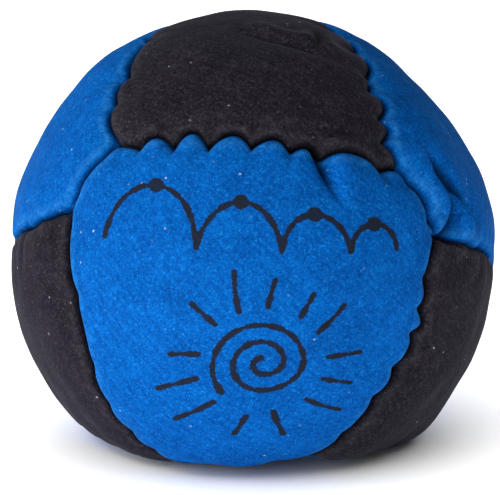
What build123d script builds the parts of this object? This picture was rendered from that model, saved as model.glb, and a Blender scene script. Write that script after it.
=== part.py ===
"""Eight-panel footbag: a sand-filled bag of synthetic suede that is kicked or juggled.

Four hexagonal panels and four triangular panels are laid out as a truncated tetrahedron that is
blown up onto a ball. The ball has slumped under its sand, so that it is full low down and flat
where it rests. Each panel is one piece of suede whose edges are turned into the bag as seam
allowances. Neighbouring allowances lie back to back, and a thread is sewn through each pair of
them. The sand fills what is left inside.

Millimetres. Z is up, the front hexagon faces -Y, and the origin is the middle of the flat patch
that the bag rests on.
"""

from math import acos, atan2, cos, degrees, hypot, radians, sin, sqrt
import os

from build123d import *

# The bag
BAG_DIAMETER = 52.0
CROWN_HEIGHT = 24.65  # above the level where the bag is widest
BASE_DEPTH = 22.1  # of the flat base under that level
SHOULDER_RADIUS = 22.0  # of the side's curve, seen from the side, just above that level
FLANK_RADIUS = 32.0  # and below it
RIM_RADIUS = 8.0  # of the curve from the side into the flat base
LEAST_RIM_RADIUS = 1.0  # of that curve deep inside the skin
SUEDE_THICKNESS = 0.9
EDGE_ROLL = 1.4  # radius of the fold where a panel turns into its seam
ALLOWANCE_DEPTH = 3.0  # seam allowance, measured inwards from the suede's inner face

# The panel pattern
SHORT_SEAM_ANGLE = 21.7  # what a hexagon-to-hexagon seam spans, seen from the bag's middle
FRONT_TIGHTENING = 6.5  # how far the front hexagon's corners are drawn in towards its centre
PATTERN_ROLL = 2.7  # about Y: the right side dips
PATTERN_PITCH = 2.0  # about X: the front hexagon looks a little downwards
PATTERN_YAW = -1.5  # about Z: it also looks a little to the left

# The sewing
THREAD_DIAMETER = 0.4
NEEDLE_THREAD_DIAMETER = 0.34  # where a stitch pulls it tight through the suede
STITCH_PITCH = 3.5
STITCH_DEPTH = 2.2  # of the stitches under the bag's surface, at a seam's ends and middle
SEAM_END_GAP = 2.2  # along the stitch line, from a panel's corner to the nearest stitch
THREAD_TAIL = 0.35  # of the thread past a seam's last stitch
NEEDLE_CLEARANCE = 0.02  # round the thread in its needle holes, and beside the suede

# The filling
SAND_CLEARANCE = 0.1  # to the suede
SAND_THREAD_CLEARANCE = 0.15  # to the threads beside the allowances

BAG_RADIUS = BAG_DIAMETER / 2
THREAD_RADIUS = THREAD_DIAMETER / 2
NEEDLE_THREAD_RADIUS = NEEDLE_THREAD_DIAMETER / 2
MIDDLE = Vector(0, 0, BASE_DEPTH)  # on the axis, at the level where the bag is widest
ALLOWANCE_END = SUEDE_THICKNESS + ALLOWANCE_DEPTH
THREAD_OFFSET = SUEDE_THICKNESS + THREAD_RADIUS + NEEDLE_CLEARANCE  # from the seam's plane
TETRAHEDRON_ANGLE = acos(-1 / 3)  # between the directions of two triangles' centres

# Each hexagon lies opposite a triangle. Both kinds are named by where they are on the bag.
HEXAGON_OPPOSITE = {
    "front": "rear",
    "base": "top",
    "upper_left": "right",
    "upper_right": "left",
}


def triangle_centres():
    """Directions of the four triangles' centres from the bag's middle, by name."""
    out = sin(TETRAHEDRON_ANGLE)
    forward = cos(TETRAHEDRON_ANGLE)
    level = {"rear": Vector(0, 1, 0)}
    for name, turn in (("top", 90), ("right", -30), ("left", 210)):
        level[name] = Vector(out * cos(radians(turn)), forward, out * sin(radians(turn)))
    lying = {}
    for name, direction in level.items():
        rolled = direction.rotate(Axis.Y, PATTERN_ROLL)
        pitched = rolled.rotate(Axis.X, PATTERN_PITCH)
        lying[name] = pitched.rotate(Axis.Z, PATTERN_YAW)
    return lying


CENTRES = triangle_centres()


def corner(triangle, towards):
    """Direction of the triangle's corner that points at another triangle."""
    along = (TETRAHEDRON_ANGLE - radians(SHORT_SEAM_ANGLE)) / 2
    rest = TETRAHEDRON_ANGLE - along
    blend = (CENTRES[triangle] * sin(rest) + CENTRES[towards] * sin(along)).normalized()
    if "rear" in (triangle, towards):
        return blend
    inwards = Axis((0, 0, 0), CENTRES["rear"].cross(blend))
    return blend.rotate(inwards, FRONT_TIGHTENING)


def all_seams():
    """(first panel, second panel, one end, other end) of each of the 18 seams."""
    found = []
    for hexagon, opposite in HEXAGON_OPPOSITE.items():
        around = [name for name in CENTRES if name != opposite]
        for triangle in around:
            ends = [corner(triangle, other) for other in around if other != triangle]
            found.append((f"hexagon_{hexagon}", f"triangle_{triangle}", *ends))
    hexagons = list(HEXAGON_OPPOSITE)
    for i, first in enumerate(hexagons):
        for second in hexagons[i + 1 :]:
            away = (HEXAGON_OPPOSITE[first], HEXAGON_OPPOSITE[second])
            a, b = [name for name in CENTRES if name not in away]
            found.append((f"hexagon_{first}", f"hexagon_{second}", corner(a, b), corner(b, a)))
    return found


SEAMS = all_seams()


def panel_centre(panel):
    """Direction of a panel's centre from the bag's middle."""
    kind, name = panel.split("_", 1)
    return CENTRES[name] if kind == "triangle" else -CENTRES[HEXAGON_OPPOSITE[name]]


def panel_normals(panel):
    """Normals of the planes of the panel's seams, which hold the bag's middle. They point in."""
    normals = []
    for first, second, one_end, other_end in SEAMS:
        if panel in (first, second):
            normal = one_end.cross(other_end).normalized()
            inwards = normal.dot(panel_centre(panel)) > 0
            normals.append(normal if inwards else -normal)
    return normals


def outline(inset):
    """The arcs that outline the bag from its base to its crown, moved inwards by inset.

    Each is (centre, radius, lowest angle, highest angle), with X out from the axis and Y up from
    the bag's middle. Each arc runs smoothly into the next.
    """
    shoulder_out = BAG_RADIUS - SHOULDER_RADIUS
    spare = CROWN_HEIGHT - SHOULDER_RADIUS
    crown_drop = (shoulder_out**2 - spare**2) / (2 * spare)
    crown_low = degrees(atan2(crown_drop, shoulder_out))
    flank_out = BAG_RADIUS - FLANK_RADIUS
    rim = max(RIM_RADIUS - inset, LEAST_RIM_RADIUS)
    rim_drop = BASE_DEPTH - inset - rim
    rim_beside = sqrt((FLANK_RADIUS - inset - rim) ** 2 - rim_drop**2)
    rim_high = -degrees(atan2(rim_drop, rim_beside))
    return [
        (Vector(flank_out + rim_beside, -rim_drop), rim, -90, rim_high),
        (Vector(flank_out, 0), FLANK_RADIUS - inset, rim_high, 0),
        (Vector(shoulder_out, 0), SHOULDER_RADIUS - inset, 0, crown_low),
        (Vector(0, -crown_drop), CROWN_HEIGHT + crown_drop - inset, crown_low, 90),
    ]


def bag_solid(inset, facing):
    """The whole bag as one solid, moved inwards by inset. Its surface's join is opposite facing."""
    with BuildSketch(Plane.XZ) as profile:
        with BuildLine():
            arcs = [
                CenterArc(centre, radius, low, high - low)
                for centre, radius, low, high in outline(inset)
            ]
            Polyline(arcs[0] @ 0, (0, inset - BASE_DEPTH), arcs[-1] @ 1)
        make_face()
    spun = revolve(profile.sketch, Axis.Z)
    opposite = Vector(-facing.X, -facing.Y, 0)
    turn = Vector(1, 0, 0).get_signed_angle(opposite, Vector(0, 0, 1))
    return spun.rotate(Axis.Z, turn).moved(Location(MIDDLE))


def within(solid, normals, inset):
    """The part of a solid that lies at least inset inside each seam's plane."""
    for normal in normals:
        cut = Plane(origin=MIDDLE + normal * inset, z_dir=normal)
        solid = split(solid, cut, keep=Keep.TOP)
    return solid


def below_surface(direction, depth):
    """The point that lies this far under the bag's surface, in a direction from its middle."""
    aim = Vector(hypot(direction.X, direction.Y), direction.Z).normalized()
    for centre, radius, low, high in outline(depth):
        along = aim.dot(centre)
        reach = along + sqrt(max(along**2 - centre.dot(centre) + radius**2, 0))
        offset = aim * reach - centre
        if low <= degrees(atan2(offset.Y, offset.X)) <= high:
            return MIDDLE + direction.normalized() * reach
    return MIDDLE + direction * ((depth - BASE_DEPTH) / direction.Z)


def stitch_line(one_end, other_end, end_gap):
    """The arc that a seam's stitches lie on, starting and ending this far from its ends."""
    span = one_end.get_angle(other_end)
    margin = degrees(end_gap / (BAG_RADIUS - STITCH_DEPTH))
    axis = Axis((0, 0, 0), one_end.cross(other_end))
    angles = (margin, span / 2, span - margin)
    return ThreePointArc(*[below_surface(one_end.rotate(axis, a), STITCH_DEPTH) for a in angles])


def needle_pins(one_end, other_end, radius):
    """A pin through both allowances at each stitch, from one thread's middle to the other's."""
    normal = one_end.cross(other_end).normalized()
    line = stitch_line(one_end, other_end, SEAM_END_GAP)
    gaps = round(line.length / STITCH_PITCH)
    pins = []
    for stitch in range(gaps + 1):
        at = Plane(origin=line @ (stitch / gaps), z_dir=normal)
        pins.append(at * Cylinder(radius, 2 * THREAD_OFFSET))
    return pins


def seam_thread(one_end, other_end):
    """A lockstitched seam: a thread along each side of the allowances, linked through them."""
    normal = one_end.cross(other_end).normalized()
    line = stitch_line(one_end, other_end, SEAM_END_GAP - THREAD_TAIL)
    parts = needle_pins(one_end, other_end, NEEDLE_THREAD_RADIUS)
    for side in (THREAD_OFFSET, -THREAD_OFFSET):
        run = line.moved(Location(normal * side))
        parts.append(sweep(Plane(origin=run @ 0, z_dir=run % 0) * Circle(THREAD_RADIUS), run))
    return parts[0].fuse(*parts[1:])


def outer_edges(blank, normals):
    """The edges where a panel's outer face meets its seams."""
    found = []
    for edge in blank.edges():
        point = edge.position_at(0.5)
        offset = point - MIDDLE
        on_a_seam = any(abs(normal.dot(offset)) < 0.001 for normal in normals)
        outside = offset.length > (below_surface(offset.normalized(), 0.1) - MIDDLE).length
        if on_a_seam and outside:
            found.append(edge)
    return found


def panel_solid(panel):
    """One piece of suede: a curved skin with its edges rolled and turned in, and needle holes."""
    facing = panel_centre(panel)
    normals = panel_normals(panel)
    wall = bag_solid(0, facing) - bag_solid(ALLOWANCE_END, facing)
    hollow = within(bag_solid(SUEDE_THICKNESS, facing), normals, SUEDE_THICKNESS)
    blank = within(wall, normals, 0) - hollow
    rolled = fillet(outer_edges(blank, normals), EDGE_ROLL)
    holes = []
    for first, second, one_end, other_end in SEAMS:
        if panel in (first, second):
            holes += needle_pins(one_end, other_end, NEEDLE_THREAD_RADIUS + NEEDLE_CLEARANCE)
    return rolled.cut(*holes)


def sand_solid():
    """The filling: the bag's inside, less the sewn allowances and a little room round them."""
    beside_seams = THREAD_OFFSET + THREAD_RADIUS + SAND_THREAD_CLEARANCE
    core = bag_solid(ALLOWANCE_END + SAND_CLEARANCE, Vector(0, -1, 0))
    lobes = []
    for panel in PANELS:
        facing = panel_centre(panel)
        lobe = bag_solid(SUEDE_THICKNESS + SAND_CLEARANCE, facing)
        lobes.append(within(lobe, panel_normals(panel), beside_seams))
    return core.fuse(*lobes)


PANELS = [f"hexagon_{name}" for name in HEXAGON_OPPOSITE]
PANELS += [f"triangle_{name}" for name in CENTRES]

os.makedirs("parts", exist_ok=True)
for panel in PANELS:
    export_step(panel_solid(panel), f"parts/panel_{panel}.step")
for first, second, one_end, other_end in SEAMS:
    export_step(seam_thread(one_end, other_end), f"parts/thread_{first}_to_{second}.step")
export_step(sand_solid(), "parts/sand_filling.step")
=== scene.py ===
"""Looks of an eight-panel juggling footbag, built round its CAD frame.

Each suede panel is one closed sheet: a crowned skin with rolled, puckered edges and turned-in seam
allowances. The seams' threads and the sand inside are pieces too, and the print is in a material.

Lengths are in millimetres and angles in degrees. A "direction" is a unit vector from the bag's
middle. Panels are laid out on the true pattern, and warping the directions makes the seams wander.
"""

from math import acos, atan2, cos, degrees, pi, radians, sin, sqrt

import bmesh
import bpy
import numpy as np
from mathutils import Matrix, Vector, geometry


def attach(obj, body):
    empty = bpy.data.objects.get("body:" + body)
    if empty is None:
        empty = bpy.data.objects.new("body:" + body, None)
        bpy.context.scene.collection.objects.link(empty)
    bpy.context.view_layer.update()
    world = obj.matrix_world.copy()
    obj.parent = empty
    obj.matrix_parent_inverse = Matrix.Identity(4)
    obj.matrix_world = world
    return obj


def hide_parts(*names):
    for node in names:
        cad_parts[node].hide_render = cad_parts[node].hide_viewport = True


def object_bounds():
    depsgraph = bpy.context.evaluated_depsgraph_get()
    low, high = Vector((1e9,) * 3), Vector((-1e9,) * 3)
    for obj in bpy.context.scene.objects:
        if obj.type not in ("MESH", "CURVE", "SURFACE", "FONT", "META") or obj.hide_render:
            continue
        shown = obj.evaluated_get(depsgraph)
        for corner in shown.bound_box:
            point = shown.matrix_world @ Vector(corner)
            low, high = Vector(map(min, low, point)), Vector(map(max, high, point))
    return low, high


MM = 0.001

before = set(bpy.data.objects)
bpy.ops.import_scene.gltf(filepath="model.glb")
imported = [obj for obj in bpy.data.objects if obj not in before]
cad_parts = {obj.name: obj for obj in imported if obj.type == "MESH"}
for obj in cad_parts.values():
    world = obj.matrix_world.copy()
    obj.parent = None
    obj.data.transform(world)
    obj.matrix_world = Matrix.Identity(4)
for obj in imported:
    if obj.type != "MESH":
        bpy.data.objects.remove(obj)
CAD_LOW, CAD_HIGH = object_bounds()

# The bag, from its CAD box
BAG_RADIUS = (CAD_HIGH.x - CAD_LOW.x) / 2 / MM
CROWN_HEIGHT = 24.65  # above the level where the bag is widest
BASE_DEPTH = CAD_HIGH.z / MM - CROWN_HEIGHT
SHOULDER_RADIUS = 22.0  # of the side's curve, seen from the side, just above that level
FLANK_RADIUS = 32.0  # and below it
RIM_RADIUS = 6.5  # of the curve from the side into the flat base
MIDDLE = np.array([0, 0, BASE_DEPTH])
BASE_ROLL = 0.35  # height over which the skin eases into the flat base

# The suede
THICKNESS = 0.85
EDGE_ROLL = 1.0  # radius of the fold where a panel turns into its seam
SEAM_GAP = 0.03  # half the room between two allowances
GAP_DEPTH = 0.6  # how far the surface drops at most between them
ALLOWANCE = 3.0
ALLOWANCE_STEPS = 7
CORNER_ROUNDING = 0.45  # how softly two grooves run together at a panel's corner
VALLEY_DEPTH = 0.32  # of the wide dip along each seam
VALLEY_WIDTH = 2.0
CORNER_DEPTH = 0.45  # of the dimple where panels' corners meet
CORNER_WIDTH = 2.6

# A pucker is a nick at the panel's edge with a shallow gather behind it
NICK_DEPTH = 0.5
NICK_WIDTH = 0.8
NICK_REACH = 1.2
GATHER_DEPTH = 0.2
GATHER_WIDTH = 1.05
PUCKER_SIDE = 4.5  # as far as a pucker is worked out to each side
PUCKER_REACH = 9  # and into the panel

# The sewing
STITCH_PITCH = 3.5
SEAM_END_GAP = 2.2
THREAD_RADIUS = 0.2
THREAD_DEPTH = 0.8  # under the bottom of the seam's groove
THREAD_TAIL = 0.3  # beyond the end stitches
THREAD_SLACK = 0.1  # how far it bows out between stitches
THREAD_STEP = 0.22  # between points of its path
LINK_RADIUS = 0.8 * THREAD_RADIUS  # of the thread that goes through the suede at a stitch

# The pattern, which is a truncated tetrahedron
SHORT_SEAM_ANGLE = 21.7  # length of the seams between hexagons, seen from the bag's middle
FRONT_TIGHTENING = 6.5  # how far the front hexagon's corners are drawn in towards its centre
PATTERN_ROLL = 2.7  # how the pattern lies on the bag: turned about Y, then X, then Z
PATTERN_PITCH = 2.0
PATTERN_YAW = -1.5
TETRAHEDRON_ANGLE = degrees(acos(-1 / 3))
# Each hexagon, with the triangle on the other side of the bag from it
HEXAGON_OPPOSITE = {"front": "rear", "base": "top", "upper_left": "right", "upper_right": "left"}

# How far apart the points of a panel's mesh are
FINE_SPACING = 0.24
SPACING = 0.36


# -------- directions


def unit(vectors):
    """Vectors made one long."""
    return vectors / np.linalg.norm(vectors, axis=-1, keepdims=True)


def turned(vectors, axis, angle):
    """Vectors turned about an axis through the bag's middle, by an angle or one angle each."""
    turn = np.radians(angle)[..., None]
    along = (vectors @ axis)[..., None] * axis
    return along + (vectors - along) * np.cos(turn) + np.cross(axis, vectors) * np.sin(turn)


def heading(azimuth, elevation):
    """The direction at an azimuth, where -90 is the front and 0 the right, and an elevation."""
    a, e = radians(azimuth), radians(elevation)
    return np.array([cos(a) * cos(e), sin(a) * cos(e), sin(e)])


def arc_distance(directions, direction):
    """How far along the surface directions are from another, or from each column of others."""
    return BAG_RADIUS * np.arccos(np.clip(directions @ direction, -1, 1))


def side_distance(directions, normal):
    """How far along the surface directions are on a normal's side of a great circle."""
    return BAG_RADIUS * np.arcsin(directions @ normal)


def on_circle(angles):
    """Flat places on a circle whose radius is one."""
    return np.stack([np.cos(angles), np.sin(angles)], -1)


def bell(distance, width):
    """1 at no distance, dying away over a width."""
    return np.exp(-((distance / width) ** 2))


def eased(value):
    """0 up to 0, 1 from 1 on, and smooth between."""
    value = np.clip(value, 0, 1)
    return value * value * (3 - 2 * value)


def ripples(directions, seed, length, count=14):
    """A smooth random field from about -1 to 1, with hills about this length apart."""
    rng = np.random.default_rng(seed)
    total = np.zeros(len(directions))
    for _ in range(count):
        axis = unit(rng.normal(size=3))
        scale = 2 * pi * BAG_RADIUS / length * rng.uniform(0.7, 1.3)
        total += np.sin(directions @ axis * scale + rng.uniform(0, 2 * pi))
    return total / sqrt(count / 2) / 1.6  # the sum's usual size, and how far past it hills go


# -------- the pattern


def triangle_centres():
    """Directions of the four triangles' centres, by name."""
    out = sin(radians(TETRAHEDRON_ANGLE))
    forward = cos(radians(TETRAHEDRON_ANGLE))
    level = {"rear": np.array([0.0, 1.0, 0.0])}
    for name, turn in (("top", 90), ("right", -30), ("left", 210)):
        a = radians(turn)
        level[name] = np.array([out * cos(a), forward, out * sin(a)])
    lying = {}
    for name, direction in level.items():
        rolled = turned(direction, np.array([0, 1, 0]), PATTERN_ROLL)
        pitched = turned(rolled, np.array([1, 0, 0]), PATTERN_PITCH)
        lying[name] = turned(pitched, np.array([0, 0, 1]), PATTERN_YAW)
    return lying


CENTRES = triangle_centres()


def corner(triangle, towards):
    """Direction of the triangle's corner that points at another triangle."""
    along = radians((TETRAHEDRON_ANGLE - SHORT_SEAM_ANGLE) / 2)
    rest = radians(TETRAHEDRON_ANGLE) - along
    blend = unit(CENTRES[triangle] * sin(rest) + CENTRES[towards] * sin(along))
    if "rear" in (triangle, towards):
        return blend
    return turned(blend, unit(np.cross(CENTRES["rear"], blend)), FRONT_TIGHTENING)


def panel_centre(panel):
    kind, name = panel.split("_", 1)
    return CENTRES[name] if kind == "triangle" else -CENTRES[HEXAGON_OPPOSITE[name]]


# How a seam differs from the plain ones, by name. scallop is how far its first panel bulges over
# its second between stitches, and below 0 it is the other way round. depth scales its groove, and
# pucker its gathers. notches says where its puckers are along it, where that isn't at its stitches,
# and lobes how large the bulges between them are. lean tips the lobes over, towards the seam's end.
SEAM_STYLES = {
    "hexagon_front_to_triangle_top": {
        "scallop": 1.6, "pucker": 1.7, "lean": 0.35,
        "notches": (3.0, 6.4, 9.9, 14.4, 18.5, 21.9, 27.8),
        "lobes": (0.25, 0.9, 1.25, 0.95, 0.7, 0.55, 0.75, 0.2),
    },
    "hexagon_front_to_triangle_left": {
        "scallop": 0.7, "pucker": 0.45,
        "notches": (2.6, 5.6, 8.2, 11.4, 15.4, 22.0),
        "lobes": (0.6, 0.75, 0.5, 0.6, 0.35, 0.1, 0.0),
    },
    "hexagon_front_to_triangle_right": {
        "scallop": 1.2, "pucker": 0.9,
        "notches": (4.4, 7.9, 11.0, 15.2, 19.4, 24.6),
        "lobes": (0.0, 0.35, 0.7, 0.15, 0.2, 0.1, 0.2),
    },
    "hexagon_upper_right_to_triangle_top": {
        "scallop": -1.3, "pucker": 1.4,
        "notches": (3.4, 6.0, 10.4, 12.4, 17.5, 22.5, 29.0),
        "lobes": (0.2, 0.75, 1.1, 0.4, 0.9, 0.6, 0.7, 0.5),
    },
    "hexagon_upper_left_to_triangle_top": {
        "scallop": -1.0, "seed": 8,
        "notches": (8.0, 13.0, 16.5, 25.2, 29.5),
    },
    "hexagon_front_to_hexagon_upper_left": {"scallop": 0.0, "depth": 0.4, "pucker": 0.3},
    "hexagon_front_to_hexagon_upper_right": {"scallop": 0.1, "depth": 3.2},
}
PLAIN_SEAM = {
    "scallop": 0.5, "pucker": 1.0, "depth": 1.0, "lean": 0.0, "seed": 20,
    "notches": (), "lobes": (),
}
LOBE_POWER = 0.7  # below 1, so that the lobes are round and the notches sharp
LOBE_MIDDLE = 0.5  # as much of a lobe's height lies on the seam's other side


class Seam:
    """The arc from one corner to another where two panels meet. Its normal points at the second."""

    def __init__(self, first, second, start, end):
        self.name = f"{first}_to_{second}"
        self.panels = (first, second)
        if np.cross(start, end) @ panel_centre(second) < 0:
            start, end = end, start
        self.start = start
        self.normal = unit(np.cross(start, end))
        self.forward = np.cross(self.normal, start)
        self.length = BAG_RADIUS * acos(start @ end)
        self.gaps = round((self.length - 2 * SEAM_END_GAP) / STITCH_PITCH)
        self.pitch = (self.length - 2 * SEAM_END_GAP) / self.gaps
        self.style = {**PLAIN_SEAM, **SEAM_STYLES.get(self.name, {})}
        rng = np.random.default_rng(self.style["seed"] + 100 * len(self.name))
        strays = rng.uniform(-0.5, 0.5, self.gaps + 1)
        self.notches = np.array(self.style["notches"] or self.stitches() + strays)
        count = len(self.notches)
        # How far each lobe swings, how hard each notch pulls, and for both panels, how far its
        # gather reaches in and how it slants
        lobes = rng.uniform(0.4, 1.2, count + 1)
        self.lobes = np.array(self.style["lobes"] or lobes)
        self.pulls = rng.uniform(0.5, 1.2, count)
        self.reaches = rng.uniform(1.2, 4.2, (2, count))
        self.slants = rng.uniform(-0.5, 0.5, (2, count))

    def offset(self, directions):
        """How far directions are on the second panel's side."""
        return side_distance(directions, self.normal)

    def along(self, directions):
        """How far directions are along the seam from its start."""
        return BAG_RADIUS * np.arctan2(directions @ self.forward, directions @ self.start)

    def at(self, along):
        """Directions on the seam."""
        angle = np.asarray(along, float)[..., None] / BAG_RADIUS
        return self.start * np.cos(angle) + self.forward * np.sin(angle)

    def stitches(self):
        """Where the stitches are along the seam."""
        return SEAM_END_GAP + self.pitch * np.arange(self.gaps + 1)

    def scallop(self, along):
        """How far the seam swings towards its second panel: out between notches, in at each."""
        stops = np.concatenate([[0], self.notches, [self.length]])
        lobe = np.clip(np.searchsorted(stops, along) - 1, 0, len(self.lobes) - 1)
        phase = (along - stops[lobe]) / (stops[lobe + 1] - stops[lobe])
        phase = np.clip(phase, 0, 1)
        phase = phase - self.style["lean"] * phase * (1 - phase)
        swing = self.lobes[lobe] * np.sin(pi * phase) ** LOBE_POWER - LOBE_MIDDLE
        ends = eased(along / SEAM_END_GAP) * eased((self.length - along) / SEAM_END_GAP)
        return self.style["scallop"] * swing * ends


def all_seams():
    """The 18 seams."""
    found = []
    for hexagon, opposite in HEXAGON_OPPOSITE.items():
        around = [name for name in CENTRES if name != opposite]
        for triangle in around:
            ends = [corner(triangle, other) for other in around if other != triangle]
            found.append(Seam(f"hexagon_{hexagon}", f"triangle_{triangle}", *ends))
    hexagons = list(HEXAGON_OPPOSITE)
    for i, first in enumerate(hexagons):
        for second in hexagons[i + 1 :]:
            away = (HEXAGON_OPPOSITE[first], HEXAGON_OPPOSITE[second])
            a, b = [name for name in CENTRES if name not in away]
            found.append(Seam(f"hexagon_{first}", f"hexagon_{second}", corner(a, b), corner(b, a)))
    return found


SEAMS = all_seams()


class Panel:
    """A panel's seams in order round it, each with the normal that points into the panel."""

    def __init__(self, name):
        self.name = name
        self.centre = panel_centre(name)
        self.up = np.cross(self.centre, unit(np.cross([0, 0, 1], self.centre)))
        self.right = np.cross(self.up, self.centre)
        self.seams = [seam for seam in SEAMS if name in seam.panels]
        self.seams.sort(key=lambda seam: self.turn_of(seam.at(seam.length / 2)))
        self.normals = [
            seam.normal if name == seam.panels[1] else -seam.normal for seam in self.seams
        ]
        self.corners = [self.inset_corner(i, 0) for i in range(len(self.seams))]

    def turn_of(self, direction):
        """The angle of a direction about the panel's centre, anticlockwise seen from outside."""
        return np.arctan2(direction @ self.up, direction @ self.right)

    def flat(self, directions):
        """Places on the panel laid flat, right and up from its centre."""
        out = arc_distance(directions, self.centre)
        return out[..., None] * on_circle(self.turn_of(directions))

    def folded(self, places):
        """Directions of places on the flat panel."""
        out = np.linalg.norm(places, axis=-1)
        angle = out / BAG_RADIUS
        side = (places[..., :1] * self.right + places[..., 1:] * self.up) / out[..., None]
        return self.centre * np.cos(angle)[..., None] + side * np.sin(angle)[..., None]

    def inset_corner(self, i, inset):
        """The corner between seams i - 1 and i, of the panel made smaller by inset."""
        before, after = self.normals[i - 1], self.normals[i]
        level = sin(inset / BAG_RADIUS)
        mean = (before + after) * level / (1 + before @ after)
        across = np.cross(before, after)
        return mean + across * sqrt((1 - mean @ mean) / (across @ across))

    def ring(self, inset, counts):
        """Directions all round the panel, inset from its seams, with a count for each seam."""
        found = []
        for i, (normal, count) in enumerate(zip(self.normals, counts)):
            start = self.inset_corner(i, inset)
            end = self.inset_corner((i + 1) % len(self.normals), inset)
            level = (start @ normal) * normal
            a, b = unit(start - level), unit(end - level)
            span = degrees(acos(np.clip(a @ b, -1, 1)))
            angles = np.arange(count) / count * span
            found.append(turned(np.tile(start, (count, 1)), normal, angles))
        return np.concatenate(found)

    def insets(self, directions):
        """How far directions are inside each seam."""
        return np.stack([side_distance(directions, normal) for normal in self.normals])


HEXAGONS = [Panel(f"hexagon_{name}") for name in HEXAGON_OPPOSITE]
TRIANGLES = [Panel(f"triangle_{name}") for name in CENTRES]
PANELS = {panel.name: panel for panel in HEXAGONS + TRIANGLES}


# -------- the bag's shape

# Where places of the true pattern lie on the bag: azimuth and elevation of each, before and after
LAID = [
    # The front hexagon's corners, from its upper left one clockwise
    ((-129, 31), (-133, 32)), ((-51, 28), (-47, 26)), ((-43, 9), (-39, 8)),
    ((-79, -50), (-73, -52)), ((-109, -48), (-109, -52)), ((-138, 13), (-142, 14)),
    # Its seam with the top triangle
    ((-108, 36), (-108, 35)), ((-83, 36), (-82, 35)), ((-69, 34), (-68, 32)),
    # With the right one
    ((-48, -1), (-44, -3)), ((-54, -15), (-46, -17)), ((-60, -26), (-52, -27)),
    ((-69, -39), (-60, -40)),
    # With the left one
    ((-133, 0), (-138, -1)), ((-129, -13), (-136, -17)), ((-124, -24), (-135, -31)),
    ((-118, -35), (-128, -44)),
    # The top triangle's left and right seams
    ((-132, 42), (-142, 40)), ((-140, 58), (-155, 54)), ((177, 79), (164, 66)),
    ((-48, 35), (-47, 33)), ((-40, 51), (-38, 49)), ((-10, 71), (1, 66)),
    # The seams over the left and right triangles
    ((-149, 7), (-153, 9)), ((-172, -6), (-175, 1)), ((-27, -1), (-20, 2)),
    ((-9, -12), (-5, -4)),
]
LAID_REACH = 5.0  # how far a laid place pulls its neighbours along
SCALLOP_REACH = 1.9  # how far a scallop is felt to each side of its seam


def pull(distance):
    """How strongly one place pulls on another this far away."""
    share = distance / LAID_REACH
    return (1 + share) * np.exp(-share)


def laid_pulls():
    """(pattern directions, weights) that together move every laid place to where it lies."""
    before = np.array([heading(*place) for place, _ in LAID])
    after = np.array([heading(*place) for _, place in LAID])
    return before, np.linalg.solve(pull(arc_distance(before, before.T)), after - before)


LAID_BEFORE, LAID_WEIGHTS = laid_pulls()


def warped(directions):
    """Directions moved along the surface, so that the seams wander and scallop."""
    moved = directions.copy()
    for seam in SEAMS:
        offset = seam.offset(directions)
        near = np.abs(offset) < 3 * SCALLOP_REACH
        along = seam.along(directions[near])
        swing = seam.scallop(along) * bell(offset[near], SCALLOP_REACH)
        moved[near] += swing[:, None] * seam.normal / BAG_RADIUS
    return unit(moved + pull(arc_distance(directions, LAID_BEFORE.T)) @ LAID_WEIGHTS)


def outline():
    """(centre, radius, lowest angle, highest angle) of the arcs of the bag's outline, base first."""
    shoulder_out = BAG_RADIUS - SHOULDER_RADIUS
    spare = CROWN_HEIGHT - SHOULDER_RADIUS
    crown_drop = (shoulder_out**2 - spare**2) / (2 * spare)
    crown_low = degrees(atan2(crown_drop, shoulder_out))
    flank_out = BAG_RADIUS - FLANK_RADIUS
    rim_drop = BASE_DEPTH - RIM_RADIUS
    rim_beside = sqrt((FLANK_RADIUS - RIM_RADIUS) ** 2 - rim_drop**2)
    rim_high = -degrees(atan2(rim_drop, rim_beside))
    return [
        ((flank_out + rim_beside, -rim_drop), RIM_RADIUS, -90, rim_high),
        ((flank_out, 0), FLANK_RADIUS, rim_high, 0),
        ((shoulder_out, 0), SHOULDER_RADIUS, 0, crown_low),
        ((0, -crown_drop), CROWN_HEIGHT + crown_drop, crown_low, 90),
    ]


def outline_radius(elevation):
    """How far the outline is from the middle, at an elevation."""
    aim = np.array([cos(radians(elevation)), sin(radians(elevation))])
    for centre, radius, low, high in outline():
        along = aim @ centre
        reach = along + sqrt(max(along**2 - np.dot(centre, centre) + radius**2, 0))
        offset = aim * reach - centre
        if low <= degrees(atan2(offset[1], offset[0])) <= high:
            return reach
    return -BASE_DEPTH / aim[1]


# The outline's table, at every eighth of a degree
OUTLINE_ELEVATIONS = np.linspace(-90, 90, 1441)
OUTLINE_RADII = np.array([outline_radius(elevation) for elevation in OUTLINE_ELEVATIONS])


def round_radius(directions):
    """Distance from the middle to the surface of the plain, smooth bag."""
    elevations = np.degrees(np.arcsin(np.clip(directions[:, 2], -1, 1)))
    return np.interp(elevations, OUTLINE_ELEVATIONS, OUTLINE_RADII)


def pucker_depth(seam, side, directions, across):
    """How far a seam's puckers pull in the panel on one side, at places across from the seam."""
    depth = np.zeros(len(directions))
    along = seam.along(directions)
    for i, notch in enumerate(seam.notches):
        close = (np.abs(along - notch) < PUCKER_SIDE) & (across < PUCKER_REACH)
        inside = across[close]
        beside = along[close] - notch - seam.slants[side, i] * inside
        nick = NICK_DEPTH * bell(beside, NICK_WIDTH) * np.exp(-inside / NICK_REACH)
        gather = GATHER_DEPTH * bell(beside, GATHER_WIDTH) * bell(inside, seam.reaches[side, i])
        depth[close] += seam.style["pucker"] * seam.pulls[i] * (nick + gather)
    return depth


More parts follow.
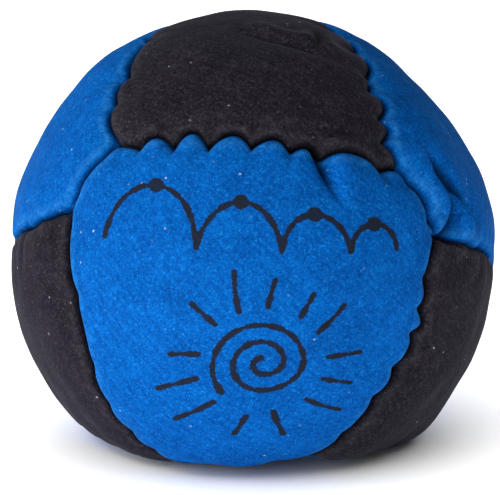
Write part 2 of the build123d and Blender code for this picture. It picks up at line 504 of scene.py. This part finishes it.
def groove_depth(panel, directions):
    """How far a panel's skin lies under the plain bag's, by its edges and puckers."""
    insets = panel.insets(directions)
    weights = np.exp(-np.clip(insets, 0, 20) / CORNER_ROUNDING)  # how much each seam counts
    inset = -CORNER_ROUNDING * np.log(weights.sum(0)) - SEAM_GAP
    styles = np.array([seam.style["depth"] for seam in panel.seams])
    scale = (weights * styles[:, None]).sum(0) / weights.sum(0)
    roll = EDGE_ROLL - np.clip(inset, 0, EDGE_ROLL)
    depth = EDGE_ROLL - np.sqrt(EDGE_ROLL**2 - roll**2)
    depth += scale * VALLEY_DEPTH * np.exp(-np.clip(inset, 0, None) / VALLEY_WIDTH)
    depth += np.clip(-inset, 0, GAP_DEPTH)
    for place in panel.corners:
        depth += CORNER_DEPTH * bell(arc_distance(directions, place), CORNER_WIDTH)
    for seam, across in zip(panel.seams, insets):
        depth += pucker_depth(seam, seam.panels.index(panel.name), directions, across)
    return depth


def smooth_line(controls):
    """Directions close together on a smooth line through a few (a Catmull-Rom spline)."""
    first = 2 * controls[:1] - controls[1:2]
    last = 2 * controls[-1:] - controls[-2:-1]
    padded = np.concatenate([first, controls, last])
    line = []
    for a, b, c, d in zip(padded, padded[1:], padded[2:], padded[3:]):
        for t in np.arange(0, 1, 0.05):
            square = (2 * a - 5 * b + 4 * c - d) * t**2
            cube = (3 * b - a - 3 * c + d) * t**3
            line.append(0.5 * (2 * b + (c - a) * t + square + cube))
    return unit(np.array(line + [controls[-1]]))


CREASE_ROUNDING = 0.02  # of a crease's bottom, in square millimetres


class Fold:
    """A crease along a smooth line of places, each an azimuth and an elevation.

    depth and width are the crease's own. lift raises the skin beside it, out to about spread: to
    the left of the line's direction if lean is 1, to its right if lean is -1, and on both sides if
    it is 0. fade is the share of its length over which each end dies away.
    """

    def __init__(self, places, depth, width, lift, spread, lean, fade=(0.3, 0.3)):
        self.line = smooth_line(np.array([heading(*place) for place in places]))
        self.depth, self.width = depth, width
        self.lift, self.spread, self.lean = lift, spread, lean
        self.fade = fade

    def shape(self, directions):
        """What the fold adds to the surface's height, and how deep in its crease places are."""
        raised = np.zeros(len(directions))
        shade = np.zeros(len(directions))
        reach = 3 * (self.spread + self.width)
        near = (directions @ self.line.T).max(1) > cos(reach / BAG_RADIUS)
        found = directions[near]
        closest = (found @ self.line.T).argmax(1)
        share = closest / (len(self.line) - 1)
        forward = unit(np.gradient(self.line, axis=0))[closest]
        point = self.line[closest]
        across = ((found - point) * np.cross(point, forward)).sum(1) * BAG_RADIUS
        apart = np.linalg.norm(found - point, axis=1) * BAG_RADIUS
        ends = eased(share / self.fade[0]) * eased((1 - share) / self.fade[1])
        crease = -self.depth * np.exp(-np.sqrt(apart**2 + CREASE_ROUNDING) / self.width)
        beside = apart * (self.lean * np.sign(across) if self.lean else 1)
        bulge = self.lift * bell(beside - 0.8 * self.spread, 0.7 * self.spread)
        raised[near] = ends * (crease + bulge)
        shade[near] = ends * min(self.depth / 2, 1) * bell(apart, 1.1 * self.width)
        return raised, shade


FOLDS = [
    # In the front panel, from its top seam down
    Fold([(-73, 34), (-72, 29), (-70, 23), (-67, 17)], 2.6, 0.5, 0.8, 2.8, 1, (0.02, 0.6)),
    # In the upper right panel: one beside its seam with the front panel, and one further out
    Fold([(-38, 25), (-34, 18), (-33.5, 12), (-37, 6)], 3.6, 0.55, 0.6, 2.2, 0, (0.25, 0.05)),
    Fold([(-38, 31), (-33, 22), (-27, 14), (-20, 7)], 2.2, 0.6, 0.7, 2.6, -1),
    # Across the top panel
    Fold([(-116, 77), (-78, 70), (-45, 54)], 0.7, 0.7, 0.55, 2.2, 1),
    Fold([(-25, 72), (-44, 67), (-54, 62)], 0.8, 0.5, 0.3, 1.5, 0, (0.4, 0.4)),
    Fold([(-113, 38), (-95, 40), (-72, 37)], 0.3, 0.9, 0.35, 2.2, 1),
]
# The skin's unevenness over the sand: seed, spacing and height of the hills of each size
LUMPS = [(1, 21, 0.22), (2, 9.5, 0.12), (3, 4.2, 0.045)]
# Where the bag bulges or is pressed in: azimuth, elevation, height and width
BULGES = [
    (180, -16, 0.6, 11), (0, -16, 0.6, 9), (0, -58, 1.3, 6), (180, -27, 0.25, 6),
    (180, -46, 0.2, 8), (0, 44, -0.75, 10), (-76, -60, -0.9, 7),
]


def skin_radius(panel, pattern, directions):
    """Distance from the middle to a panel's skin, from pattern and from warped directions."""
    radius = round_radius(directions) - groove_depth(panel, pattern)
    for fold in FOLDS:
        radius += fold.shape(directions)[0]
    for seed, length, height in LUMPS:
        radius += height * ripples(directions, seed, length)
    for azimuth, elevation, height, width in BULGES:
        radius += height * bell(arc_distance(directions, heading(azimuth, elevation)), width)
    return radius


def crease_shade(directions):
    """From 0 on open skin to 1 deep in a crease."""
    return np.max([fold.shape(directions)[1] for fold in FOLDS], axis=0)


def on_base(points):
    """Points with the bag's underside pressed flat onto what it rests on."""
    z = points[:, 2]
    eased_up = (z + BASE_ROLL) ** 2 / (4 * BASE_ROLL)
    points[:, 2] = np.where(z > BASE_ROLL, z, np.where(z < -BASE_ROLL, 0, eased_up))
    return points


# -------- meshes

SOFTENINGS = 6  # rounds of smoothing of the normals that give a sheet its thickness
INNER_SIDE = 5.0  # how much further into its seam a sheet's inner side counts as
CUT_POINTS = 12  # along each seam, in a panel's flat cut
FAR = 9.0  # counts as away from all ink


def linked(made):
    """An object, linked into the scene."""
    bpy.context.scene.collection.objects.link(made)
    return made


def mesh_object(name, points, faces, attributes=None):
    """An object of a mesh whose points are in millimetres."""
    mesh = bpy.data.meshes.new(name)
    mesh.from_pydata((points * MM).tolist(), [], faces)
    mesh.validate()
    mesh.shade_smooth()
    for key, values in (attributes or {}).items():
        kind, part = ("FLOAT", "value") if values.ndim == 1 else ("FLOAT_VECTOR", "vector")
        field = mesh.attributes.new(key, kind, "POINT")
        field.data.foreach_set(part, values.astype(np.float32).ravel())
    return linked(bpy.data.objects.new(name, mesh))


def point_normals(points, triangles):
    """Each point's normal, the mean of its triangles'."""
    a, b, c = (points[triangles[:, i]] for i in range(3))
    faces = np.cross(b - a, c - a)
    normals = np.zeros_like(points)
    for i in range(3):
        np.add.at(normals, triangles[:, i], faces)
    return unit(normals + 1e-12)


def softened(values, triangles, rounds):
    """Values at points, each moved towards its neighbours' mean a number of times."""
    edges = np.concatenate([triangles[:, [0, 1]], triangles[:, [1, 2]], triangles[:, [2, 0]]])
    edges = np.concatenate([edges, edges[:, ::-1]])
    counts = np.bincount(edges[:, 0], minlength=len(values))[:, None]
    for _ in range(rounds):
        total = np.zeros_like(values)
        np.add.at(total, edges[:, 0], values[edges[:, 1]])
        values = 0.5 * values + 0.5 * total / np.maximum(counts, 1)
    return values


def row(i, length):
    """The point numbers of row i, when rows are equally long."""
    return range(i * length, (i + 1) * length)


def strip(first, second):
    """Triangles between two closed rings of point numbers."""
    a, b = np.array(first), np.array(second)
    c, d = np.roll(a, -1), np.roll(b, -1)
    return np.concatenate([np.stack([a, c, d], 1), np.stack([a, d, b], 1)])


def lattice(reach, spacing):
    """Places of a triangular lattice that covers a circle."""
    rows = []
    for i, y in enumerate(np.arange(-reach, reach, spacing * sqrt(3) / 2)):
        xs = np.arange(-reach, reach, spacing) + (spacing / 2 if i % 2 else 0)
        rows.append(np.stack([xs, np.full_like(xs, y)], 1))
    places = np.concatenate(rows) + 0.013 * spacing  # so that none lies on the middle itself
    return places[np.linalg.norm(places, axis=1) < reach * 1.2]


def panel_grid(panel, spacing):
    """(directions, triangles, how many points are on the first ring) of a panel on the pattern.

    Rings follow its outline over the rolled edge and a little further, and a lattice fills the rest.
    """
    counts = [max(6, round(seam.length / spacing)) for seam in panel.seams]
    total = sum(counts)
    roll = [EDGE_ROLL * (1 - cos(radians(a))) for a in range(0, 91, 10)]
    beyond = [EDGE_ROLL + spacing * (i + 1) for i in range(3)]
    insets = [SEAM_GAP + inset for inset in roll + beyond]
    rings = [panel.ring(inset, counts) for inset in insets]
    triangles = [strip(row(i, total), row(i + 1, total)) for i in range(len(rings) - 1)]
    edge = panel.flat(rings[-1])
    places = lattice(np.abs(edge).max() + spacing, spacing)
    inside = panel.insets(panel.folded(places)).min(0) > insets[-1] + 0.6 * spacing
    places = places[inside]
    loop = [(i, (i + 1) % total) for i in range(total)]
    flat_points = [Vector(place) for place in np.concatenate([edge, places])]
    _, _, found, origins, _, _ = geometry.delaunay_2d_cdt(flat_points, loop, [], 1, 1e-5)
    numbers = np.array([min(origin) for origin in origins])
    middle = (len(rings) - 1) * total + numbers[np.array(found)]
    directions = np.concatenate([*rings, panel.folded(places)])
    return directions, np.concatenate([*triangles, middle]), total


def with_allowances(skin, triangles, total):
    """(points, triangles, rim) of a skin and the allowances that run inwards from its first ring."""
    rim = np.arange(total)
    arms = skin[rim] - MIDDLE
    length = np.linalg.norm(arms, axis=1)
    rows = [skin]
    bands = [triangles]
    for i in range(ALLOWANCE_STEPS):
        share = 1 - ALLOWANCE * (i + 1) / ALLOWANCE_STEPS / length
        rows.append(MIDDLE + arms * share[:, None])
        below = len(skin) + np.array(row(i, total))
        bands.append(strip(rim, below)[:, ::-1])
        rim = below
    return np.concatenate(rows), np.concatenate(bands), rim


def thickened(sheet, triangles, rim):
    """(points, faces) of a closed mesh: a sheet, its inner side and the edge between them."""
    normals = softened(point_normals(sheet, triangles), triangles, SOFTENINGS)
    count = len(sheet)
    points = np.concatenate([sheet, sheet - unit(normals) * THICKNESS])
    closing = strip(rim, rim + count)[:, ::-1]
    return points, np.concatenate([triangles, triangles[:, ::-1] + count, closing])


def panel_piece(panel, spacing, extra=None):
    """A panel: its skin, its turned-in allowances and its thickness, as one closed mesh."""
    pattern, triangles, total = panel_grid(panel, spacing)
    directions = warped(pattern)
    radius = skin_radius(panel, pattern, directions)
    skin = on_base(MIDDLE + directions * radius[:, None])
    points, faces = thickened(*with_allowances(skin, triangles, total))

    # What the material reads: distance inside the seam, depth in a crease, and place on the panel.
    # On the allowances and on the inner side the distance is below 0, and they get painted shade
    inwards = np.arange(1, ALLOWANCE_STEPS + 1) * ALLOWANCE / ALLOWANCE_STEPS
    distance = np.concatenate([panel.insets(pattern).min(0), np.repeat(-inwards, total)])
    places = panel.flat(pattern)
    laid = np.concatenate([places, np.tile(places[:total], (ALLOWANCE_STEPS, 1))])
    shade = np.zeros(len(points))
    shade[: len(skin)] = crease_shade(directions)
    attributes = {
        "seam_distance": np.concatenate([distance, distance - INNER_SIDE]),
        "crease": shade,
        "panel_place": np.tile(np.column_stack([laid, np.zeros(len(laid))]), (2, 1)),
    }
    if extra is not None:
        attributes["ink_distance"] = np.concatenate([extra(laid), np.full(len(laid), FAR)])
    return mesh_object(f"suede_{panel.name}", points, faces.tolist(), attributes)


def flat_cut(panel):
    """(width, length, area) in metres of the flat suede for a panel."""
    edge = panel.flat(warped(panel.ring(0, [CUT_POINTS] * len(panel.seams))))
    grown = edge * (1 + (ALLOWANCE + EDGE_ROLL) / np.linalg.norm(edge, axis=1))[:, None]
    x, y = grown.T
    area = 0.5 * abs((x * np.roll(y, -1) - y * np.roll(x, -1)).sum())
    width, length = np.ptp(x), np.ptp(y)
    return width * MM, length * MM, area * MM**2


# -------- the print

SPIRAL_MIDDLE = np.array([1.2, -5.6])  # right and up from the panel's centre
SPIRAL_GROWTH = 0.27  # outwards for each radian
RAYS = 13
RAY_START = 5.6
RAY_END = 8.6
BOUNCES_LEFT = -14.4
BOUNCES_GROUND = 4.8
BOUNCES = ((9.4, 6.6), (8.0, 5.4), (6.6, 4.3), (5.2, 3.2))  # width and height of each
BALL_RADIUS = 0.8
SPIRAL_STROKE = 0.52
RAY_STROKE = 0.5
BOUNCE_STROKE = 0.55


def stroke_distance(places, line, width):
    """How far places are from the edge of a line whose width wavers, as if drawn by hand."""
    best = np.full(len(places), FAR)
    for i, (a, b) in enumerate(zip(line, line[1:])):
        along = b - a
        share = np.clip((places - a) @ along / (along @ along), 0, 1)
        apart = np.linalg.norm(places - a - share[:, None] * along, axis=1)
        half = width / 2 * (1 + 0.22 * sin(1.7 * i) + 0.12 * sin(0.63 * i + 2))
        best = np.minimum(best, apart - half)
    return best


def spiral_lines():
    """(line, width) of the spiral and of each ray round it, uneven as if drawn by hand."""
    angles = np.linspace(0.6 * pi, 5.2 * pi, 110)
    spiral = SPIRAL_MIDDLE + on_circle(angles) * (SPIRAL_GROWTH * angles)[:, None]
    lines = [(spiral, SPIRAL_STROKE)]
    for i in range(RAYS):
        inner = RAY_START + 0.3 * sin(3.1 * i)
        outer = RAY_END + 0.7 * sin(1.9 * i)
        out = np.linspace(inner, outer, 7)
        bend = 0.03 * sin(1.3 * i)
        angle = 2 * pi * i / RAYS + 0.05 * sin(2.3 * i) + bend * (out - inner)
        lines.append((SPIRAL_MIDDLE + out[:, None] * on_circle(angle), RAY_STROKE))
    return lines


def bounce_lines():
    """((line, width) of each bounce's arc, place of the ball at the top of each)."""
    lines = []
    balls = []
    left = BOUNCES_LEFT
    angles = np.radians(np.linspace(172, 8, 26))
    for width, height in BOUNCES:
        middle = np.array([left + width / 2, BOUNCES_GROUND])
        lines.append((middle + on_circle(angles) * [width / 2, height], BOUNCE_STROKE))
        balls.append(middle + [0, height])
        left += width
    return lines, balls


def print_distance(places):
    """The print: a ball's bounces over a large spiral with rays. Under 0 is ink."""
    bounces, balls = bounce_lines()
    distances = [stroke_distance(places, *line) for line in spiral_lines() + bounces]
    distances += [np.linalg.norm(places - ball, axis=1) - BALL_RADIUS for ball in balls]
    return np.min(distances, axis=0)


# -------- threads and sand

SAND_ROOM = 0.25  # between the sand and the skin over it
SAND_LIFT = 0.2  # and the base panel under it
TRENCH_SLOPE = 1.2  # width of the side of the trench in the sand round two allowances
TRENCH_ROOM = 0.6  # room under them
TRENCH_SIDE = 0.3  # and beside the thread
SAND_GRAIN = 0.22  # how uneven the sand's surface is


def tube(path, radius, sides=9, plies=3, twist=1.1, bulge=0.12):
    """(points, triangles) of a closed tube of twisted plies along a path.

    twist is the length of one turn of the plies, and bulge how far they stand out, as a share.
    """
    tangents = unit(np.gradient(path, axis=0))
    across = np.cross(tangents[0], [0.31, 0.52, 0.79])  # any direction but the path's own
    travelled = np.concatenate([[0], np.cumsum(np.linalg.norm(np.diff(path, axis=0), axis=1))])
    angles = np.arange(sides) / sides * 2 * pi
    points = []
    triangles = []
    for i, (point, tangent) in enumerate(zip(path, tangents)):
        across = unit(across - (across @ tangent) * tangent)
        other = np.cross(tangent, across)
        section = 1 + bulge * np.cos(plies * angles - 2 * pi * travelled[i] / twist)
        ring = np.cos(angles)[:, None] * across + np.sin(angles)[:, None] * other
        points.append(point + ring * (radius * section)[:, None])
        if i:
            triangles.append(strip(row(i - 1, sides), row(i, sides)))
    points.append(path[[0, -1]])
    hub = len(path) * sides
    end = np.arange(sides)
    after = np.roll(end, -1)
    last = hub - sides
    triangles.append(np.stack([after, end, np.full(sides, hub)], 1))
    triangles.append(np.stack([end + last, after + last, np.full(sides, hub + 1)], 1))
    return np.concatenate(points), np.concatenate(triangles)


def thread_piece(seam):
    """A lockstitch: a twisted thread on each side of the allowances, linked at the stitches."""
    start = SEAM_END_GAP - THREAD_TAIL
    along = np.arange(start, seam.length - start, THREAD_STEP)
    pattern = seam.at(along)
    directions = warped(pattern)
    radius = skin_radius(PANELS[seam.panels[0]], pattern, directions) - THREAD_DEPTH
    line = MIDDLE + directions * radius[:, None]
    slack = THREAD_SLACK * np.sin(pi * (along - SEAM_END_GAP) / seam.pitch) ** 2
    beside = THICKNESS + THREAD_RADIUS + SEAM_GAP
    parts = []
    for side in (1, -1):
        parts.append(tube(line + seam.normal * side * (beside + slack)[:, None], THREAD_RADIUS))
    for stitch in seam.stitches():
        middle = line[np.abs(along - stitch).argmin()]
        reach = np.linspace(-beside, beside, 9)[:, None]
        parts.append(tube(middle + seam.normal * reach, LINK_RADIUS))
    faces = []
    count = 0
    for points, triangles in parts:
        faces += (triangles + count).tolist()
        count += len(points)
    points = np.concatenate([points for points, _ in parts])
    return mesh_object(f"stitching_{seam.name}", points, faces)


def sand_radius(panel, pattern, directions):
    """Distance from the middle to the sand under a panel's skin and allowances."""
    under_skin = skin_radius(panel, pattern, directions) - THICKNESS - SAND_ROOM
    inset = panel.insets(pattern).min(0)
    trench_end = THICKNESS + 2 * THREAD_RADIUS + TRENCH_SIDE
    trench = eased((trench_end + TRENCH_SLOPE - inset) / TRENCH_SLOPE)
    groove_bottom = round_radius(directions) - EDGE_ROLL - VALLEY_DEPTH - CORNER_DEPTH
    trench_bottom = groove_bottom - ALLOWANCE - TRENCH_ROOM
    return under_skin * (1 - trench) + np.minimum(trench_bottom, under_skin) * trench


def sand_piece():
    """The filling: a closed, grainy mass up to the skins and allowances."""
    ball = bmesh.new()
    bmesh.ops.create_icosphere(ball, subdivisions=6, radius=1)
    pattern = unit(np.array([v.co for v in ball.verts]))
    faces = [[v.index for v in face.verts] for face in ball.faces]
    ball.free()
    directions = warped(pattern)
    radius = np.zeros(len(pattern))
    for panel in PANELS.values():
        mine = panel.insets(pattern).min(0) >= 0
        radius[mine] = sand_radius(panel, pattern[mine], directions[mine])
    radius -= np.random.default_rng(7).uniform(0, SAND_GRAIN, len(radius))
    points = on_base(MIDDLE + directions * radius[:, None])
    points[:, 2] = np.maximum(points[:, 2], THICKNESS + SAND_LIFT)
    return mesh_object("sand", points, faces)


# -------- materials

# The colours of each suede. The paler crest colour by the seams is partly dustiness and partly
# and a darker copy of the deep colour is painted shade in the grooves and creases.
# painted sheen on the rolled edges, the glint colour paints highlights on single fibre specks,
BLUE = {
    "deep": (0.0006, 0.036, 0.18, 1),
    "usual": (0.0007, 0.076, 0.33, 1),
    "bright": (0.002, 0.135, 0.49, 1),
    "glint": (0.012, 0.26, 0.75, 1),
    "dust_and_sheen": (0.03, 0.22, 0.55, 1),
    "sheen_tint": (0.05, 0.4, 1.0, 1),
    "crest_sheen_and_wear": 0.45, "lint": 0.5, "sheen": 0.05,
}
BLACK = {
    "deep": (0.0045, 0.0038, 0.006, 1),
    "usual": (0.0115, 0.0098, 0.0155, 1),
    "bright": (0.032, 0.028, 0.038, 1),
    "glint": (0.07, 0.062, 0.075, 1),
    "dust_and_sheen": (0.10, 0.095, 0.11, 1),
    "sheen_tint": (0.8, 0.8, 1.0, 1),
    "crest_sheen_and_wear": 0.14, "lint": 0.5, "sheen": 0.06,
}
LINT = (0.75, 0.82, 0.95, 1)
INK = (0.012, 0.013, 0.016, 1)


class Shader:
    """A material's node tree, with a short way to add nodes. Sizes are in millimetres."""

    def __init__(self, name):
        self.material = bpy.data.materials.new(name)
        self.material.use_nodes = True
        self.tree = self.material.node_tree
        self.tree.nodes.clear()
        self.surface = self.add("ShaderNodeBsdfPrincipled")
        output = self.add("ShaderNodeOutputMaterial")
        self.tree.links.new(self.surface.outputs["BSDF"], output.inputs["Surface"])
        self.place = self.add("ShaderNodeTexCoord").outputs["Object"]

    def put(self, socket, value):
        """Link an input to an output, or set it to a value."""
        if isinstance(value, bpy.types.NodeSocket):
            self.tree.links.new(value, socket)
        else:
            socket.default_value = value

    def add(self, kind, inputs=None, **settings):
        """A node with settings, and with inputs by name or number."""
        node = self.tree.nodes.new(kind)
        for key, value in settings.items():
            setattr(node, key, value)
        for key, value in (inputs or {}).items():
            self.put(node.inputs[key], value)
        return node

    def set(self, **values):
        """The surface's inputs, by name with _ for a space."""
        for key, value in values.items():
            self.put(self.surface.inputs[key.replace("_", " ")], value)

    def times(self, a, b):
        return self.add("ShaderNodeMath", {0: a, 1: b}, operation="MULTIPLY").outputs[0]

    def plus(self, a, b):
        return self.add("ShaderNodeMath", {0: a, 1: b}, operation="ADD").outputs[0]

    def swing(self, field, weight):
        """A field from 0 to 1 as a change to either side of 0."""
        return self.times(self.plus(field, -0.5), weight)

    def spread(self, value, low, high, to_low=0.0, to_high=1.0):
        """A value mapped from one range to another, and kept in it."""
        inputs = {0: value, 1: low, 2: high, 3: to_low, 4: to_high}
        return self.add("ShaderNodeMapRange", inputs).outputs[0]

    def mix(self, share, a, b):
        return self.add("ShaderNodeMix", {0: share, 6: a, 7: b}, data_type="RGBA").outputs[2]

    def attribute(self, name, output="Fac"):
        return self.add("ShaderNodeAttribute", attribute_name=name).outputs[output]

    def noise(self, size, detail=2.0, roughness=0.5, distortion=0.0):
        """Noise with features of a size."""
        inputs = {"Vector": self.place, "Scale": 1 / (size * MM), "Detail": detail,
                  "Roughness": roughness, "Distortion": distortion}
        return self.add("ShaderNodeTexNoise", inputs).outputs["Fac"]

    def cells(self, size):
        """(distance from a cell's centre, a random number for each cell) of cells of a size."""
        inputs = {"Vector": self.place, "Scale": 1 / (size * MM)}
        node = self.add("ShaderNodeTexVoronoi", inputs)
        pick = self.add("ShaderNodeSeparateColor", {0: node.outputs["Color"]})
        return node.outputs["Distance"], pick.outputs[0]

    def bump(self, height, strength, depth):
        """Relief on the surface, from a height."""
        inputs = {"Height": height, "Strength": strength, "Distance": depth * MM}
        self.set(Normal=self.add("ShaderNodeBump", inputs).outputs[0])


def nap_colour(shader, look, grain, mottle, wales):
    """The suede's own colour, light and dark as the nap lies, with painted glints: bright specks, as
    of single fibre strands in the light.
    """
    stroked = shader.noise(6.5, detail=3.0, roughness=0.55, distortion=1.2)
    tone = shader.swing(grain, 1.1)
    for field, weight in ((mottle, 1.0), (stroked, 0.55), (wales, 0.1)):
        tone = shader.plus(tone, shader.swing(field, weight))
    colour = shader.mix(shader.spread(tone, 0.0, -0.45), look["usual"], look["deep"])
    colour = shader.mix(shader.spread(tone, 0.0, 0.45), colour, look["bright"])
    # Painted highlight: random fibre specks pushed towards the bright glint colour
    glint_specks = shader.noise(0.28, detail=3.0, roughness=0.75, distortion=0.6)
    return shader.mix(shader.spread(glint_specks, 0.54, 0.7, 0.0, 0.6), colour, look["glint"])


def dust_sheen_and_shade_colour(shader, colour, look, mottle):
    """Dusty crests beside the seams, partly painted sheen, and painted shade in the grooves and
    creases.
    """
    inset = shader.attribute("seam_distance")
    # A darker copy of the deep colour, painted where shade falls
    painted_shade = tuple(0.3 * part for part in look["deep"][:3]) + (1,)
    # The rolled crests beside the seams are made paler: partly dustiness, partly painted sheen
    crest = shader.times(shader.spread(inset, 0.4, 0.75), shader.spread(inset, 1.7, 0.8))
    crest_dust_and_sheen = shader.times(crest, shader.spread(mottle, 0.35, 0.65, 0.05, look["crest_sheen_and_wear"]))
    colour = shader.mix(crest_dust_and_sheen, colour, look["dust_and_sheen"])
    # Painted shade in the seams' grooves, and on the allowances and inner sides
    colour = shader.mix(shader.spread(inset, 0.45, 0.1, 0.0, 0.92), colour, painted_shade)
    # Painted shade deep in the creases
    crease = shader.attribute("crease")
    return shader.mix(shader.spread(crease, 0.25, 0.9, 0.0, 0.9), colour, painted_shade)


def linted_colour(shader, colour, amount):
    """Pale specks of lint."""
    distance, pick = shader.cells(1.25)
    speck = shader.times(shader.spread(distance, 0.13, 0.06), shader.spread(pick, 0.78, 1.0))
    return shader.mix(shader.times(speck, amount), colour, LINT)


def printed_colour(shader, colour, grain, mottle):
    """Ink that has sunk into the nap, with a slightly rough edge and thinner patches."""
    edge = shader.plus(shader.attribute("ink_distance"), shader.swing(grain, 0.3))
    covered = shader.spread(edge, 0.06, -0.06, 0.0, 0.985)
    thin = shader.spread(mottle, 0.3, 0.62, 0.92, 1.0)
    return shader.mix(shader.times(covered, thin), colour, INK)


def suede(name, look, printed=False):
    """Brushed synthetic suede: mottled nap on a fine knit, lint, painted glints, and at its seams
    dustiness, painted sheen and painted shade.
    """
    shader = Shader(name)
    grain = shader.noise(0.22, roughness=0.6)
    mottle = shader.noise(0.9, detail=4.0, roughness=0.68, distortion=0.4)
    laid = shader.attribute("panel_place", "Vector")
    wave = {"Vector": laid, "Scale": 0.62, "Distortion": 1.6, "Detail": 2.0, "Detail Scale": 1.4}
    wales = shader.add("ShaderNodeTexWave", wave, bands_direction="DIAGONAL").outputs["Fac"]

    colour = nap_colour(shader, look, grain, mottle, wales)
    colour = dust_sheen_and_shade_colour(shader, colour, look, mottle)
    colour = linted_colour(shader, colour, look["lint"])
    if printed:
        colour = printed_colour(shader, colour, grain, mottle)

    fuzz = shader.plus(shader.times(grain, 0.65), shader.times(mottle, 0.6))
    shader.bump(shader.plus(fuzz, shader.times(wales, 0.12)), 0.55, 0.1)
    shader.set(Base_Color=colour, Roughness=shader.spread(grain, 0.3, 0.7, 0.82, 1.0))
    shader.set(Specular_IOR_Level=0.03, Sheen_Weight=look["sheen"], Sheen_Roughness=0.4)
    shader.set(Sheen_Tint=look["sheen_tint"])
    return shader.material


def thread_material():
    """Twisted bonded polyester thread."""
    shader = Shader("thread_polyester")
    fibre = shader.noise(0.12, detail=3.0, roughness=0.6)
    colour = shader.mix(fibre, (0.012, 0.013, 0.02, 1), (0.05, 0.055, 0.075, 1))
    shader.bump(fibre, 0.5, 0.04)
    shader.set(Base_Color=colour, Roughness=shader.spread(fibre, 0.3, 0.7, 0.4, 0.65))
    return shader.material


def sand_material():
    """Dry sand: pale, rounded grains of several colours."""
    shader = Shader("sand_grains")
    distance, pick = shader.cells(0.45)
    colour = shader.mix(pick, (0.36, 0.25, 0.15, 1), (0.82, 0.72, 0.54, 1))
    damp = shader.spread(shader.noise(7), 0.4, 0.7, 0.0, 0.3)
    colour = shader.mix(damp, colour, (0.42, 0.32, 0.2, 1))
    shader.bump(shader.spread(distance, 0.0, 0.7, 1.0, 0.0), 0.8, 0.15)
    shader.set(Base_Color=colour, Roughness=shader.spread(pick, 0.0, 1.0, 0.55, 0.9))
    return shader.material


def floor_material():
    """Matt, nearly white card."""
    shader = Shader("studio_floor")
    tint = shader.mix(shader.noise(60), (0.93, 0.93, 0.935, 1), (0.95, 0.95, 0.95, 1))
    shader.set(Base_Color=tint, Roughness=0.9, Specular_IOR_Level=0.1)
    return shader.material


# -------- studio

FLOOR_REACH = 3000.0
FLOOR_CELLS = 12
SKY_LEFT = 0.42  # strength of the light from the far left
SKY_RIGHT = 0.04
CAMERA_ELEVATION = 12.0
CAMERA_DISTANCE = 12 * BAG_RADIUS
AIM_RIGHT = -0.33  # where the camera aims, right and up from the bag's middle in its view
AIM_UP = -1.0


def aimed(made, away):
    """Turn a camera or a lamp so that it looks back along a direction."""
    made.rotation_euler = Vector(away).to_track_quat("Z", "Y").to_euler()


def studio_floor():
    """A wide pale floor that the bag rests on."""
    lines = np.linspace(-FLOOR_REACH, FLOOR_REACH, FLOOR_CELLS + 1)
    points = np.array([[x, y, 0] for y in lines for x in lines])
    up = FLOOR_CELLS + 1
    corners = [j * up + i for j in range(FLOOR_CELLS) for i in range(FLOOR_CELLS)]
    floor = mesh_object("floor", points, [[a, a + 1, a + up + 1, a + up] for a in corners])
    floor.data.materials.append(floor_material())
    return floor


def studio_sky():
    """White light from all round, stronger from the left than from the right."""
    world = bpy.data.worlds.new("studio")
    bpy.context.scene.world = world
    world.use_nodes = True
    nodes = world.node_tree.nodes
    links = world.node_tree.links
    place = nodes.new("ShaderNodeTexCoord")
    split = nodes.new("ShaderNodeSeparateXYZ")
    glow = nodes.new("ShaderNodeMapRange")
    for socket, value in zip(glow.inputs[1:5], (-1.0, 1.0, SKY_LEFT, SKY_RIGHT)):
        socket.default_value = value
    links.new(place.outputs["Generated"], split.inputs[0])
    links.new(split.outputs["X"], glow.inputs[0])
    links.new(glow.outputs[0], nodes["Background"].inputs["Strength"])
    nodes["Background"].inputs["Color"].default_value = (1, 1, 1, 1)


def lamp(name, azimuth, elevation, strength, softness):
    """A soft lamp, far away in a direction. Softness is the angle that it fills."""
    light = bpy.data.lights.new(name, "SUN")
    light.energy = strength
    light.angle = radians(softness)
    made = linked(bpy.data.objects.new(name, light))
    aimed(made, heading(azimuth, elevation))
    return made


def studio_lamps(floor):
    """A key light from the left, low in front, and a wash that lights nothing but the floor."""
    lamp("key", azimuth=-138, elevation=14, strength=3.9, softness=80)
    wash = lamp("floor_wash", azimuth=-90, elevation=89, strength=4.0, softness=100)
    lit = bpy.data.collections.new("floor_only")
    lit.objects.link(floor)
    wash.light_linking.receiver_collection = lit


def studio_camera():
    """The camera, a little above the bag and well back, with plain colours."""
    back = heading(-90, CAMERA_ELEVATION)
    aim = MIDDLE + np.array([AIM_RIGHT, 0, AIM_UP / cos(radians(CAMERA_ELEVATION))])
    lens = bpy.data.cameras.new("camera")
    lens.sensor_width = 36.0
    lens.lens = 206.3
    lens.clip_start = 0.01
    lens.clip_end = 20
    camera = linked(bpy.data.objects.new("camera", lens))
    camera.location = Vector((aim + back * CAMERA_DISTANCE) * MM)
    aimed(camera, back)
    bpy.context.scene.camera = camera
    bpy.context.scene.view_settings.view_transform = "Standard"


studio_lamps(studio_floor())
studio_sky()
studio_camera()

# -------- the pieces

blue = suede("suede_blue", BLUE)
blue_printed = suede("suede_blue_printed", BLUE, printed=True)
black = suede("suede_black", BLACK)
polyester = thread_material()

sand = sand_piece()
sand.data.materials.append(sand_material())
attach(sand, "root")
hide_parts("sand_filling")

for panel in PANELS.values():
    if panel.name == "hexagon_front":
        piece = panel_piece(panel, FINE_SPACING, print_distance)
        piece.data.materials.append(blue_printed)
    else:
        piece = panel_piece(panel, FINE_SPACING if panel.name == "hexagon_upper_right" else SPACING)
        piece.data.materials.append(blue if panel.name.startswith("hexagon") else black)
    width, length, area = flat_cut(panel)
    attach(piece, "root")
    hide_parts(f"panel_{panel.name}")

for seam in SEAMS:
    stitching = thread_piece(seam)
    stitching.data.materials.append(polyester)
    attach(stitching, "root")
    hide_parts(f"thread_{seam.name}")
